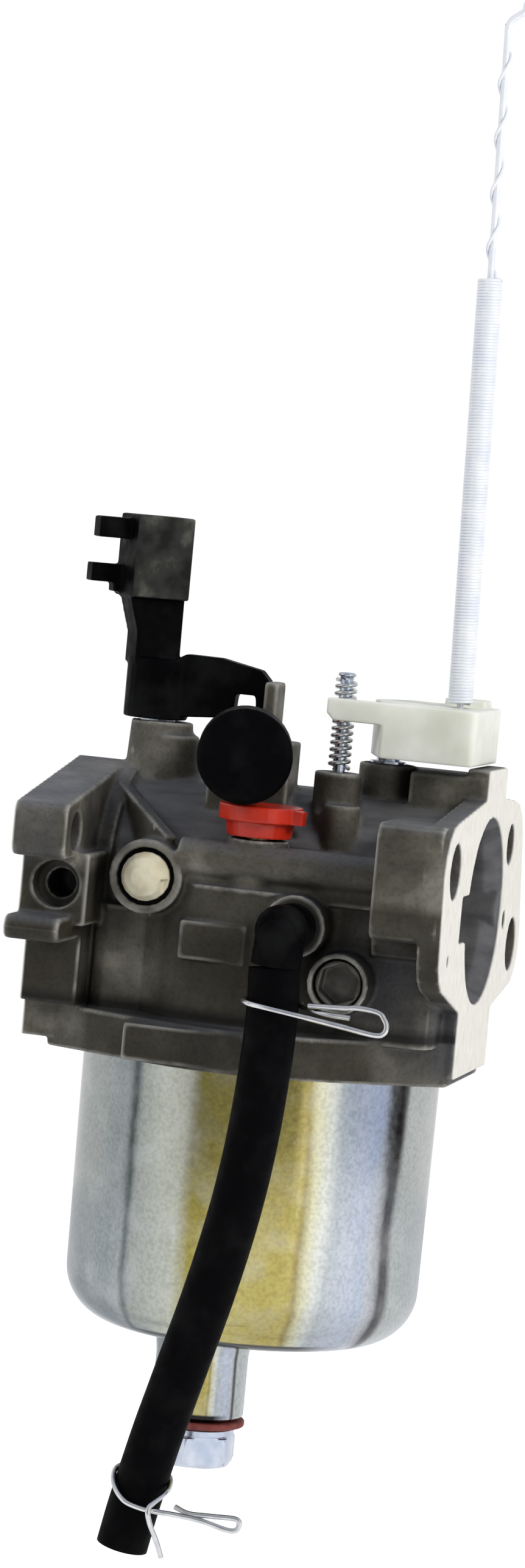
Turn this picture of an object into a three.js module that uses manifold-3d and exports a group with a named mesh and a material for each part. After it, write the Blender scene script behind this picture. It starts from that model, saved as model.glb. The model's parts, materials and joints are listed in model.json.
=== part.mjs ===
// A float carburetor for a small snow engine: a cast body between an air-intake flange and an
// engine flange, a plated float bowl, vertical choke and throttle shafts with moulded levers,
// a governor link with its spring, and a fuel hose hanging from a moulded elbow.
// Millimetres, +Z up. The origin is the centre of the engine outlet in the flange face,
// +X runs with the air toward the engine and -Y is the fuel-inlet side.

import * as THREE from 'three';
import { mergeVertices } from 'three/addons/utils/BufferGeometryUtils.js';
import Module from 'manifold-3d';

const wasm = await Module();
wasm.setup();

// ---- Driving dimensions ----------------------------------------------------------------

const gap = 0.3;                 // space left between pieces that touch
const runningFit = 0.06;         // radial clearance of a shaft in its bore

const intakeFace = -72;          // x of the air-intake flange face
const throttleX = -18.7;
const chokeX = -58.8;
const nozzleX = -41;             // column, stem and bowl bolt
const bowlX = -35.4;             // axis of the float bowl

const throatOuter = 17.6;
const throttleBore = 14;
const chokeBore = 14.6;
const venturiBore = 11.5;
const mouthBore = 17.4;
const outletBore = 15.6;
const shaftRadius = 3;
const spigotRadius = 2;           // the throttle shaft inside its lever
const plateThickness = 1;

const rimBottom = -28.5;
const rimTop = -21.3;
const rimRadius = 31.2;
const chamberRadius = 26.5;
const ceiling = -16.8;           // roof of the float chamber
const chamberTop = 1.4;          // where its outer wall ends, under the front ridge

const bowlRadius = 30;
const bowlWall = 1;
const bowlFloor = -74.5;
const bowlCorner = 9;
const stemRadius = 7.8;
const stemBottom = -90;
const sealThickness = 1.1;
const boltFlange = 6.5;
const hexAcrossFlats = 12.4;
const boltBottom = -98.2;

const stud = { y: -28.6, z: 8.1, engineRadius: 4.6, intakeRadius: 3.2 };

const throttleBossTop = 22.9;
const chokeBossTop = 26;
const leverBottom = 24.2;
const leverTop = 33.3;
const chokeHubBottom = 26.3;
const chokeHubTop = 36.4;

const idle = { x: -25.1, y: -8.8, bossTop: 21, springRadius: 1.93, springTop: 36.6 };
const mixture = { x: -34.8, y: -20.6, bossTop: 9.4 };
const port = { x: -43.1, z: 23.2, turn: THREE.MathUtils.degToRad(13), bossRadius: 6.5 };
const ridge = { y: -23.4, z: 5.6, radius: 3.1 };
const chokeTurn = 34;            // degrees the choke lever's post is turned about its shaft
const pilot = { x: -51.8, z: 1.7, radius: 4.05 };
const plug = { x: -18, z: -12.2 };
const inlet = { x: -25.9, z: -3.6, kneeY: -38 };

const pin = { y: -22.5, z: -27, radius: 1 };
const needleX = -32;
const needleY = -17;
const floatDrop = THREE.MathUtils.degToRad(12);

const link = { x: -6.9, y: -3, lean: THREE.MathUtils.degToRad(1.4), radius: 0.65 };
const springLength = 71;
const rodLength = 114;

const hoseRadius = 4.2;
const wireRadius = 0.45;

// The hanging route of the hose, from the elbow to its open end.
const hoseRoute = [
  [-26.2, -38, -9.6], [-25.9, -38.2, -16], [-26, -38.5, -23], [-26.4, -38.8, -30],
  [-27, -39, -37], [-27.9, -39.1, -44], [-29.1, -39.2, -51], [-30.6, -39.2, -58],
  [-32.3, -39.2, -65], [-34.2, -39.1, -72], [-36.1, -39, -79], [-38, -38.9, -86],
  [-39.7, -38.8, -93], [-41.2, -38.7, -99.5], [-42.4, -38.6, -105.6],
];

// ---- Solid helpers ---------------------------------------------------------------------

function solid(geometry) {
  geometry.deleteAttribute('normal');
  geometry.deleteAttribute('uv');
  const merged = mergeVertices(geometry, 1e-4);
  return new wasm.Manifold(new wasm.Mesh({
    numProp: 3,
    vertProperties: new Float32Array(merged.attributes.position.array),
    triVerts: new Uint32Array(merged.index.array),
  }));
}

function geometryOf(manifold) {
  const mesh = manifold.getMesh();
  const geometry = new THREE.BufferGeometry();
  geometry.setAttribute('position', new THREE.BufferAttribute(new Float32Array(mesh.vertProperties), 3));
  geometry.setIndex(new THREE.BufferAttribute(new Uint32Array(mesh.triVerts), 1));
  geometry.computeVertexNormals();
  return geometry;
}

const join = (...solids) => solids.reduce((sum, next) => sum.add(next));
const cut = (base, ...cutters) => cutters.reduce((rest, next) => rest.subtract(next), base);

const toAxis = {
  x: new THREE.Matrix4().makeBasis(
    new THREE.Vector3(0, 1, 0), new THREE.Vector3(0, 0, 1), new THREE.Vector3(1, 0, 0)),
  y: new THREE.Matrix4().makeBasis(
    new THREE.Vector3(0, 0, 1), new THREE.Vector3(1, 0, 0), new THREE.Vector3(0, 1, 0)),
  z: new THREE.Matrix4(),
};

// The two coordinates across an axis, in the order that its extrusions use.
const across = { x: (p) => [0, p[0], p[1]], y: (p) => [p[1], 0, p[0]], z: (p) => [p[0], p[1], 0] };

function box([x0, x1], [y0, y1], [z0, z1]) {
  const geometry = new THREE.BoxGeometry(x1 - x0, y1 - y0, z1 - z0);
  return solid(geometry.translate((x0 + x1) / 2, (y0 + y1) / 2, (z0 + z1) / 2));
}

// A turned solid: profile points are [radius, position along the axis].
function turned(axis, profile, centre, segments = 18) {
  const geometry = new THREE.LatheGeometry(profile.map(([r, t]) => new THREE.Vector2(r, t)), segments);
  geometry.rotateX(Math.PI / 2);
  geometry.applyMatrix4(toAxis[axis]);
  return solid(geometry.translate(...across[axis](centre)));
}

function rod(axis, radius, [from, to], centre, segments = 18) {
  return turned(axis, [[0, from], [radius, from], [radius, to], [0, to]], centre, segments);
}

function ring(axis, inner, outer, [from, to], centre, segments = 18) {
  const profile = [[inner, from], [outer, from], [outer, to], [inner, to], [inner, from]];
  return turned(axis, profile, centre, segments);
}

function plate(axis, points, [from, to]) {
  const shape = new THREE.Shape(points.map(([a, b]) => new THREE.Vector2(a, b)));
  const geometry = new THREE.ExtrudeGeometry(shape, { depth: to - from, bevelEnabled: false });
  geometry.translate(0, 0, from);
  return solid(geometry.applyMatrix4(toAxis[axis]));
}

// The convex outline around circles [a, b, radius], as points in order.
function hull(circles, segments = 16) {
  const points = circles.flatMap(([a, b, r]) => Array.from({ length: segments }, (_, i) => {
    const angle = (i * 2 * Math.PI) / segments;
    return [a + r * Math.cos(angle), b + r * Math.sin(angle)];
  }));
  points.sort((p, q) => p[0] - q[0] || p[1] - q[1]);
  const turn = (o, p, q) => (p[0] - o[0]) * (q[1] - o[1]) - (p[1] - o[1]) * (q[0] - o[0]);
  const chain = (list) => list.reduce((out, p) => {
    while (out.length > 1 && turn(out[out.length - 2], out[out.length - 1], p) <= 1e-6) out.pop();
    out.push(p);
    return out;
  }, []);
  return [...chain(points).slice(0, -1), ...chain(points.reverse()).slice(0, -1)];
}

// A rectangle with rounded corners, as hull circles.
function rounded([a0, a1], [b0, b1], radius) {
  const corners = [[a0 + radius, b0 + radius], [a1 - radius, b0 + radius],
    [a1 - radius, b1 - radius], [a0 + radius, b1 - radius]];
  return hull(corners.map(([a, b]) => [a, b, radius]), 8);
}

// A round wire or hose along a list of points.
function sweep(points, radius, sides, steps) {
  const section = new THREE.Shape();
  for (let i = 0; i < sides; i += 1) {
    const angle = (i * 2 * Math.PI) / sides;
    section[i ? 'lineTo' : 'moveTo'](radius * Math.cos(angle), radius * Math.sin(angle));
  }
  const path = new THREE.CatmullRomCurve3(points.map((p) => new THREE.Vector3(...p)), false, 'centripetal');
  return solid(new THREE.ExtrudeGeometry(section, { steps, extrudePath: path, bevelEnabled: false }));
}

const hexagon = (acrossFlats) => Array.from({ length: 6 }, (_, i) => {
  const radius = acrossFlats / Math.sqrt(3);
  return [radius * Math.cos((i * Math.PI) / 3 + 0.15), radius * Math.sin((i * Math.PI) / 3 + 0.15)];
});

// ---- The object's materials and nodes --------------------------------------------------

const finishes = {
  castAlloy: [0x6b675e, 0.6, 0.75],
  bowlPlate: [0xbfc2b8, 0.28, 0.95],
  zincSteel: [0xb9bec6, 0.3, 0.95],
  springSteel: [0xd0d2d2, 0.25, 0.95],
  brass: [0xb08d4a, 0.35, 0.9],
  nylon: [0xdcdccf, 0.45, 0],
  blackPlastic: [0x15151a, 0.5, 0],
  redPlastic: [0xb8200e, 0.35, 0],
  creamAcetal: [0xcfc8ab, 0.45, 0],
  blackRubber: [0x101013, 0.7, 0],
  redFibre: [0x7a3a38, 0.7, 0],
  felt: [0x4a4a46, 0.95, 0],
};

const carburetor = new THREE.Group();

function add(name, finish, manifold) {
  const [color, roughness, metalness] = finishes[finish];
  const material = new THREE.MeshStandardMaterial({ color, roughness, metalness });
  const mesh = new THREE.Mesh(geometryOf(manifold), material);
  mesh.name = name;
  carburetor.add(mesh);
  return mesh;
}

// ---- Cast body -------------------------------------------------------------------------

function engineFlange() {
  const outline = hull([[-28.6, 7.6, 8.4], [-28, -4.5, 7.4], [0, 0, 19.4], [27.4, -7.2, 7.6],
    [20.5, 8, 9.6]]);
  return join(
    plate('x', outline, [-4, 0]),
    box([-4, 0], [-6, 9.5], [10, 23.7]),
    box([-5, 0], [-14, 13.4], [-27, -10]),
    plate('x', rounded([-36.4, -12], [-3.6, 15.4], 2), [-12, -1]),
    plate('x', rounded([12, 34.6], [-14.4, 4], 2), [-12, -1]),
  );
}

function intakeFlange() {
  const face = intakeFace;
  const outline = hull([[-35, 11, 1.8], [-35, 5.5, 1.8], [-27, 5, 1.4], [0, 0, 18.8], [28.4, -7.5, 7]]);
  const ridge = hull([[-35.4, -7.9, 2.05], [-18, -7.9, 2.05]], 16);
  const upper = cut(plate('x', outline, [face, -62.9]), box([face - 1, -50], [-40, -20], [-30, 3.7]));
  return join(
    upper,
    plate('x', ridge, [face, -62.7]),
    box([face, -60.6], [-29.3, -12], [-7.4, 4.6]),
    box([face, -62.5], [-23.5, -8], [-21, -6.5]),
    box([face, -66.2], [-20.6, 20.6], [-27, -16]),
    box([face, -63.5], [-8, 20.6], [-21, 0]),
  );
}

function throatAndDeck() {
  return join(
    rod('x', throatOuter, [-68, -2], [0, 0], 36),
    rod('x', 18.6, [-68, -60], [0, 0], 36),
    box([-13.6, -1], [-6.4, 9], [8, 22.3]),
    box([-22.6, -13], [-1, 9], [8, 22.3]),
    box([-47, -12], [ridge.y - 1, -8], [0, 8]),
    rod('x', ridge.radius, [-47, -12], [ridge.y, ridge.z], 28),
    plate('z', rounded([-20, -3], [-21.5, 21.5], 3), [-22, -7]),
    box([-20, -3], [-21.5, -12], [-8, 4]),
    plate('x', rounded([-24, 24], [-8, 2], 3), [-14, -2]),
  );
}

function floatChamber() {
  const rim = hull([[bowlX, 0, rimRadius], [-2.2, -13, 1], [-2.2, 12.4, 1], [-66, -18, 2],
    [-66, 18, 2]], 40);
  return join(
    plate('z', rim, [rimBottom, rimTop]),
    rod('z', chamberRadius, [rimTop - 1, chamberTop], [bowlX, 0], 40),
    plate('z', rounded([-62, -50], [-20, 20], 3), [rimTop - 1, -4]),
    box([-52, -31.4], [-31.5, -24], [-28, -21.9]),
    box([-45.3, -34], [-26.9, -20], [-11, -4.6]),
  );
}

function bosses() {
  const gusset = new THREE.BoxGeometry(21, 2.2, 9);
  gusset.rotateY(THREE.MathUtils.degToRad(22));
  gusset.rotateZ(THREE.MathUtils.degToRad(-47));
  gusset.translate(-56.6, -14.6, 8.2);
  return join(
    turned('z', [[0, 4], [8.2, 4], [7.4, 9], [5.8, 14], [5.2, chokeBossTop], [0, chokeBossTop]],
      [chokeX + 0.9, 0], 28),
    turned('z', [[0, 4], [8, 4], [6.4, 12], [4.6, 24], [0, 24]], [chokeX + 3, -1], 28),
    rod('z', 4.75, [8, throttleBossTop], [throttleX, 0]),
    rod('z', 3.9, [4, idle.bossTop], [idle.x, idle.y]),
    rod('z', 4, [2, 14.6], [idle.x + 0.8, idle.y - 1.6]),
    rod('z', 3, [2, 15.9], [idle.x + 2.1, idle.y - 4.4]),
    rod('z', 5, [2, mixture.bossTop], [mixture.x, mixture.y]),
    rod('y', 5.2, [-28.6, -16], [inlet.z, inlet.x]),
    rod('y', 5.1, [-28, -16], [plug.z, plug.x]),
    rod('y', 6.2, [-26.6, -12], [pilot.z, pilot.x], 28),
    box([-40, -33], [-11, -3], [12, 25]),
    box([-46.5, -40], [-12, -6], [12, 20]),
    box([-38.8, -36.4], [-9.5, -3.4], [20, 34.6]),
    portBoss(),
    solid(gusset),
  );
}

function turnToPort(manifold) {
  return manifold.rotate([0, 0, THREE.MathUtils.radToDeg(port.turn)]).translate([port.x, 0, port.z]);
}

function portBoss() {
  return turnToPort(rod('y', port.bossRadius, [-19, -5.6], [0, 0], 28));
}

function hangingColumns() {
  return join(
    rod('z', 6, [bowlFloor + bowlWall + 0.4, ceiling + 1], [nozzleX, 0]),
    rod('z', 4.8, [-24.4, ceiling + 1], [needleX, needleY]),
    rod('z', 5, [-20.6, -10], [throttleX, 0]),
    rod('z', 5, [-20.6, -10], [chokeX, 0]),
    box([-38.6, -36.2], [pin.y - 2.2, pin.y + 2.2], [-29.4, ceiling + 1]),
    box([-27.8, -25.4], [pin.y - 2.2, pin.y + 2.2], [-29.4, ceiling + 1]),
  );
}

function mainBore() {
  const profile = [[0, intakeFace - 1], [mouthBore, intakeFace - 1], [mouthBore, intakeFace],
    [chokeBore + 0.5, intakeFace + 5], [chokeBore, -64], [chokeBore, -52], [12.4, -46],
    [venturiBore, nozzleX], [12.2, -36], [throttleBore, -28], [throttleBore, -3.2],
    [outletBore, -0.6], [outletBore, 1], [0, 1]];
  return turned('x', profile, [0, 0], 36);
}

function castBody() {
  const shaftBore = (x, top) => rod('z', shaftRadius + runningFit, [-18.9, top + 1], [x, 0], 24);
  const shell = cut(
    join(engineFlange(), intakeFlange(), throatAndDeck(), floatChamber(), bosses()),
    rod('z', 27.4, [rimBottom - 1, -22.6], [bowlX, 0], 40),
    rod('z', 24.6, [-23, ceiling], [bowlX, 0], 40),
    ring('z', 28.2, 30.7, [rimBottom - 1, -26.4], [bowlX, 0], 40),
    rod('z', 8.1, [mixture.bossTop, 30], [mixture.x, mixture.y], 28),
    turnToPort(rod('y', 8.4, [-40, -19], [0, 0], 28)),
  );
  const bored = cut(
    join(shell, hangingColumns()),
    mainBore(),
    shaftBore(throttleX, throttleBossTop),
    shaftBore(chokeX, chokeBossTop),
    rod('z', 4.1, [21, 24], [throttleX, 0]),
    rod('z', 3.7, [24.1, 27], [chokeX, 0]),
    rod('z', 1.5, [9, 22], [idle.x, idle.y], 16),
    rod('z', 2.4, [-6, 10], [mixture.x, mixture.y], 16),
    rod('z', 2.5, [-62, -6], [nozzleX, 0]),
    rod('z', 4.2, [-78, -61], [nozzleX, 0]),
    rod('z', 3.3, [-25, -17], [needleX, needleY]),
    rod('z', 1.4, [-18, -8], [needleX, needleY], 12),
    rod('x', pin.radius + runningFit, [-40, -24], [pin.y, pin.z], 16),
    rod('y', 2.9, [-29, -20], [inlet.z, inlet.x], 20),
    rod('y', 4.2, [-29, -22.4], [plug.z, plug.x], 20),
    rod('y', 4.8, [-27, -17], [pilot.z, pilot.x]),
    rod('x', stud.engineRadius, [-13, 1], [stud.y, stud.z]),
    rod('x', stud.engineRadius, [-13, 1], [27.4, -7.4]),
    rod('x', stud.intakeRadius, [intakeFace - 1, -60], [-30.4, stud.z], 20),
    rod('x', stud.intakeRadius, [intakeFace - 1, -60], [28.4, -7.5], 20),
    rod('x', 3.5, [-9, 1], [18.7, 10.2], 20),
    rod('x', 1.6, [-6, 1], [18.6, -2.6], 14),
    rod('x', 1, [-3, 1], [-28.5, -6.4], 12),
    box([-2.6, 1], [-20.6, -12], [-4, 3.6]),
    rod('y', 3.9, [-30, -25.6], [-0.9, -66], 24),
    rod('y', 2.4, [-30, -16], [-0.9, -66], 18),
    turnToPort(rod('y', 2.6, [-20, -8], [0, 0], 16)),
  );
  const wallRib = rod('x', 3.6, [-12.5, -0.6], [16.6, -0.6], 20);
  add('carburetor_body', 'castAlloy', bored.add(cut(wallRib, rod('x', 1.6, [-6, 1], [18.6, -2.6], 14))));
}

// ---- Bowl and what holds it ------------------------------------------------------------

function bowlAndBolt() {
  const corner = (radius, floor) => Array.from({ length: 6 }, (_, i) => {
    const angle = (i * Math.PI) / 10;
    return [radius - bowlCorner * (1 - Math.cos(angle)), floor + bowlCorner * (1 - Math.sin(angle))];
  });
  const skin = (radius, top, floor) => turned('z',
    [[0, top], [radius, top], [radius - 0.25, floor + bowlCorner + 1], ...corner(radius - 0.35, floor),
      [0, floor]].reverse(), [bowlX, 0], 40);
  const flare = [[0, stemBottom], [stemRadius, stemBottom], [stemRadius, bowlFloor - 4],
    [8.4, bowlFloor - 1.7], [9.8, bowlFloor - 0.1], [9.8, bowlFloor + 0.5], [0, bowlFloor + 0.5]];
  const bowl = cut(
    join(skin(bowlRadius, rimBottom + 0.4, bowlFloor), turned('z', flare, [nozzleX, 0], 28)),
    skin(bowlRadius - bowlWall, rimBottom + 1, bowlFloor + bowlWall),
    rod('z', 4.4, [stemBottom - 2, bowlFloor + bowlWall + 0.5], [nozzleX, 0]),
  );
  add('float_bowl', 'bowlPlate', bowl);
  add('bowl_gasket', 'blackRubber', ring('z', 28.5, 30.4, [-27.8, -26.7], [bowlX, 0], 40));

  const sealTop = stemBottom - gap;
  const boltTop = sealTop - sealThickness - gap;
  add('bowl_bolt_seal', 'redFibre',
    ring('z', 4.5, 8.1, [sealTop - sealThickness, sealTop], [nozzleX, 0], 28));
  const head = plate('z', hexagon(hexAcrossFlats), [boltBottom, boltTop - 1.2])
    .intersect(turned('z', [[0, boltBottom], [6.1, boltBottom], [7.3, boltBottom + 1], [7.3, boltTop - 1.8],
      [6.6, boltTop - 1.1], [0, boltTop - 1.1]], [0, 0])).translate([nozzleX, 0, 0]);
  add('bowl_bolt', 'zincSteel', cut(
    join(head, rod('z', boltFlange, [boltTop - 1.3, boltTop], [nozzleX, 0]),
      rod('z', 3.9, [boltTop - 1, -64.5], [nozzleX, 0])),
    rod('z', 2.3, [-70, -64], [nozzleX, 0], 16),
  ));
}

// ---- Float, needle and jets ------------------------------------------------------------

function floatAndNeedle() {
  const column = hull([[nozzleX, 0, 9], [nozzleX, 10, 9]], 24);
  const buoy = cut(
    rod('z', 23.6, [-54, -38], [bowlX, 2.4], 40),
    plate('z', column, [-55, -37]),
    box([-60, -10], [-30, -15.4], [-55, -37]),
  );
  const arm = join(
    box([-35.4, -28.6], [pin.y, -12.4], [-30.9, -29.4]),
    box([-35.4, -28.6], [-14.4, -11.6], [-39, -29.4]),
    rod('x', 2.1, [-35.6, -28.4], [pin.y, pin.z], 20),
    box([-35.4, -28.6], [pin.y - 1, pin.y + 1], [-30, -28]),
  );
  const drilled = cut(join(buoy, arm), rod('x', pin.radius + runningFit, [-37, -27], [pin.y, pin.z], 16));
  const dropped = drilled.translate([0, -pin.y, -pin.z])
    .rotate([-THREE.MathUtils.radToDeg(floatDrop), 0, 0])
    .translate([0, pin.y, pin.z]);
  add('float', 'blackPlastic', dropped);
  add('float_pin', 'zincSteel', rod('x', pin.radius, [-39, -25], [pin.y, pin.z], 16));
  add('needle_seat', 'brass', turned('z', [[1, -17.3], [1, -19], [2.05, -20], [2.05, -25.6], [3, -25.6],
    [3, -17.3], [1, -17.3]], [needleX, needleY]));
  add('float_needle', 'zincSteel', turned('z', [[0, -29.8], [1.9, -29.8], [1.9, -23.4], [0.5, -20.9],
    [0, -20.9]], [needleX, needleY], 16));
}

function jets() {
  add('main_nozzle', 'brass', ring('z', 1.1, 2.2, [-59, -5.6], [nozzleX, 0], 20));
  add('main_jet', 'brass', ring('z', 0.6, 2.2, [-62.6, -59.3], [nozzleX, 0], 20));
  add('pilot_jet_seal', 'blackRubber', ring('y', 4.2, 4.7, [-25.8, -24.4], [pilot.z, pilot.x]));
  const dome = [[0, -29], [1.8, -28.8], [3.2, -28.1], [pilot.radius, -26.6], [pilot.radius, -17.6],
    [0, -17.6]];
  add('pilot_jet', 'creamAcetal', cut(
    turned('y', dome, [pilot.z, pilot.x]),
    box([pilot.x + 2.9, pilot.x + 6], [-30, -26.4], [-6, 1.6]),
  ));
}

// ---- Shafts, plates and levers ---------------------------------------------------------

function shaftSet(name, x, boreRadius, top, sealRadius, bossTop, endRadius) {
  const screwHeights = [['upper', 6], ['lower', -6]];
  const slot = box([x - plateThickness / 2 - gap, x + plateThickness / 2 + gap], [-4, 4],
    [-boreRadius - 0.2, boreRadius + 0.2]);
  const screwHoles = screwHeights.map(([, z]) => rod('x', 1.2, [x - 4, x + 4], [0, z], 14));
  const shaft = join(
    rod('z', shaftRadius, [-18.6, bossTop + gap], [x, 0], 24),
    rod('z', endRadius, [bossTop, top], [x, 0], 24),
  );
  add(`${name}_shaft`, 'zincSteel', cut(shaft, slot, ...screwHoles));
  add(`${name}_plate`, 'brass', cut(
    rod('x', boreRadius - 0.2, [x - plateThickness / 2, x + plateThickness / 2], [0, 0], 36),
    ...screwHoles));
  screwHeights.forEach(([place, z]) => {
    add(`${name}_plate_screw_${place}`, 'brass',
      turned('x', [[0, x - 4.2], [1.9, x - 4.2], [1.9, x - 3.3], [0.9, x - 3.3], [0.9, x + 3.2],
        [0, x + 3.2]], [0, z], 14));
  });
  add(`${name}_shaft_seal`, 'felt',
    ring('z', shaftRadius + 0.2, sealRadius, [bossTop - 1.6, bossTop - 0.1], [x, 0]));
}

function throttleLever() {
  const armOutline = [[30.8, -27.2], [29.6, -26], [29.6, -17], [leverTop, -17], [leverTop, -27.2]];
  const lever = join(
    plate('z', hull([[-17.4, -12.4, 0.6], [-18.7, 0, 3.1], [-17, 8.2, 0.8], [-3, 8, 1], [-3, -12, 1]]),
      [leverBottom, leverTop]),
    plate('y', armOutline, [-13, -11.1]),
    box([-10.4, -3.6], [1.6, 7.6], [leverTop - 1, leverTop + 1.3]),
  );
  const bore = rod('z', spigotRadius + gap, [20, 31], [throttleX, 0]);
  add('throttle_lever', 'nylon', cut(lever, bore, leaned(rod('z', 0.95, [-12, 3], [0, 0], 14))));
}

function chokeLever() {
  const hub = rod('z', 5.4, [chokeHubBottom, chokeHubTop], [chokeX - 0.5, 0], 24);
  const bore = rod('z', shaftRadius + gap, [20, 34.4], [chokeX, 0]);
  const armOutline = [[-53.4, 27.1], [-45.4, 27.7], [-45.2, 31.8], [-41.8, 31.8], [-41.6, 29.6],
    [-39.8, 29.6], [-39.6, 34.4], [-41.2, 36.1], [-48.2, 37.5], [-54.2, 37.6], [-57, 36], [-57, 27.1]];
  const arm = plate('y', armOutline.map(([x, z]) => [z, x]).reverse(), [-2.6, 0.6]);
  const columnOutline = [[-4.7, chokeHubTop - 1], [3.2, chokeHubTop - 1], [3.1, 50], [-6.5, 50],
    [-6.5, 46.4], [-4.7, 40.5]];
  const post = join(
    plate('y', columnOutline.map(([x, z]) => [z, x]).reverse(), [-2.6, 3]),
    box([-6.9, 3.1], [-4.7, 4.7], [46.4, 60.2]),
    box([-12.6, -6], [-1.5, 1.8], [55.9, 59.4]),
    box([-12.3, -6], [1.6, 4.6], [48.4, 51.5]),
    box([-8.2, -6], [1.6, 4.6], [46.9, 48.6]),
  ).rotate([0, 0, chokeTurn]).translate([-59.9, 0, 0]);
  add('choke_lever', 'blackPlastic', cut(join(hub, arm, post), bore));
}

// ---- Adjusters, ports and plugs --------------------------------------------------------

function idleScrew() {
  const { x, y, bossTop, springRadius, springTop } = idle;
  const head = [[0, 10], [1.15, 10], [1.15, springTop + gap], [1.5, springTop + gap],
    [1.5, springTop + 0.9], [0, springTop + 0.9]];
  add('idle_speed_screw', 'zincSteel', cut(
    turned('z', head, [x, y], 16),
    box([x - 3, x + 3], [y - 0.3, y + 0.3], [springTop + 0.5, springTop + 3]),
  ));
  add('idle_screw_spring', 'springSteel',
    ring('z', 1.4, springRadius, [bossTop + gap, springTop], [x, y], 20));
}

function mixtureScrew() {
  const { x, y } = mixture;
  add('mixture_screw', 'brass', turned('z', [[0, -4.5], [1.9, -1], [1.9, 9.8], [3.3, 9.8], [3.3, 11.4],
    [0, 11.4]], [x, y], 20));
  add('mixture_limiter_cap', 'redPlastic', cut(
    join(turned('z', [[0, 9.8], [5.3, 9.8], [5.8, 12.8], [0, 12.8]], [x, y], 28),
      rod('z', 6.9, [12.4, 15], [x, y], 32), box([x + 2, x + 7.8], [y - 3.4, y - 0.6], [12.4, 14.7])),
    rod('z', 3.7, [9, 11.8], [x, y], 20),
    box([x - 3, x + 3], [y - 0.5, y + 0.5], [13.9, 16]),
  ));
}

function portPieces() {
  const nipple = turned('y', [[1.2, -29.6], [2.7, -29.6], [2.7, -27.6], [2.3, -27], [2.3, -9], [1.2, -9],
    [1.2, -29.6]], [0, 0], 20);
  add('primer_nipple', 'brass', turnToPort(nipple));
  const dish = [[0, -33.2], [6.9, -33.4], [7.8, -32.6], [7.8, -21], [7.2, -20.2], [3, -20.2], [3, -30],
    [0, -30]];
  add('primer_port_cap', 'blackRubber', turnToPort(turned('y', dish, [0, 0], 36)));
}

function passagePlug() {
  const socket = plate('y', hexagon(6), [-28, -24.6]).translate([plug.x, 0, plug.z]);
  add('passage_plug', 'zincSteel', cut(rod('y', 3.9, [-27, -22.7], [plug.z, plug.x], 20), socket));
}

// ---- Fuel inlet, hose and clamps -------------------------------------------------------

function fuelInlet() {
  const { x, z, kneeY } = inlet;
  const elbow = join(
    rod('y', 2.8, [-29.5, -21], [z, x]),
    rod('y', 3.9, [-31.4, -28.9], [z, x]),
    rod('y', 3.3, [kneeY + 1, -29], [z, x]),
    solid(new THREE.SphereGeometry(4.1, 16, 10).rotateX(Math.PI / 2).translate(x, kneeY, z)),
    rod('z', 4.1, [-9.2, z], [x, kneeY]),
  );
  add('fuel_elbow', 'blackPlastic', elbow);
  add('fuel_hose', 'blackRubber', sweep(hoseRoute, hoseRadius, 10, 20));
}

// Bent-wire clamps: from the bare tip, one turn around the hose, then out and back as a folded ear.
// Points are relative to the hose's centre at the clamp.
const upperClampRoute = [
  [13.6, -3.9, -0.2], [9, -3.4, 0], [5.2, -0.6, 0.3], [3.6, 3.2, 0.5], [0, 4.8, 0.6], [-3.5, 3.3, 0.6],
  [-4.8, 0, 0.5], [-3.5, -3.3, 0.3], [0, -4.8, 0], [6.5, -5, -0.8], [12.6, -5, -1.6], [18, -5, -2.3],
  [19.5, -4.9, -1.9], [19.8, -4.8, -0.8], [19.3, -4.6, 0.3], [18.2, -4.5, 1.3], [15, -4.4, 1.6],
  [12.3, -4.2, 1.3], [6.7, -3.6, 1],
];
const lowerClampRoute = [
  [5.9, -4.6, -9.2], [5, -5.2, -6.5], [3.7, -5.9, -3.4], [3.4, -5.6, -1.2], [4.9, -2.8, 0.6],
  [5.2, -0.4, 1.4], [4.15, 3.3, 2.4], [0.8, 4.8, 3.4], [-2.7, 3.3, 3.6], [-4.1, 0, 3.1],
  [-3.2, -3.3, 1.2], [-1, -4.8, -0.8], [1.6, -4.6, -1.7], [4, -4.7, -1.9], [8, -4.8, -2],
  [12, -4.6, -2.4], [16, -4.4, -3.3], [17.6, -4.3, -3.2], [18.1, -4.2, -2.2], [17.4, -4.2, -1.4],
  [13.5, -4.2, -1.5], [9.6, -4.1, -1.6], [7.2, -3.7, -0.9],
];

function clamps() {
  const wireClamp = (name, route, centre) => {
    add(name, 'springSteel', sweep(route, wireRadius, 5, 72).translate(centre));
  };
  wireClamp('hose_clamp_upper', upperClampRoute, [-26, -38.2, -15.6]);
  wireClamp('hose_clamp_lower', lowerClampRoute, [-40.5, -38.8, -96.4]);
}

// ---- Governor link ---------------------------------------------------------------------

// Places a solid built along +Z from zero onto the link's leaning axis, at the lever's top.
function leaned(manifold) {
  const tilted = manifold.rotate([0, -THREE.MathUtils.radToDeg(link.lean), 0]);
  return tilted.translate([link.x, link.y, leverTop]);
}

function governorLink() {
  const hook = [[0, 0, -8.4], [0, 0, 20], [0, 0, 60], [0, 0, rodLength - 2.6], [0.3, 0, rodLength - 1],
    [1.5, 0, rodLength], [2.6, 0, rodLength + 0.8], [2.9, 0, rodLength + 2.4]];
  add('governor_link_rod', 'zincSteel', leaned(sweep(hook, link.radius, 8, 30)));
  add('throttle_return_spring', 'springSteel',
    leaned(ring('z', 1.25, 2.15, [0.4, springLength], [0, 0], 20)));
}

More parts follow.
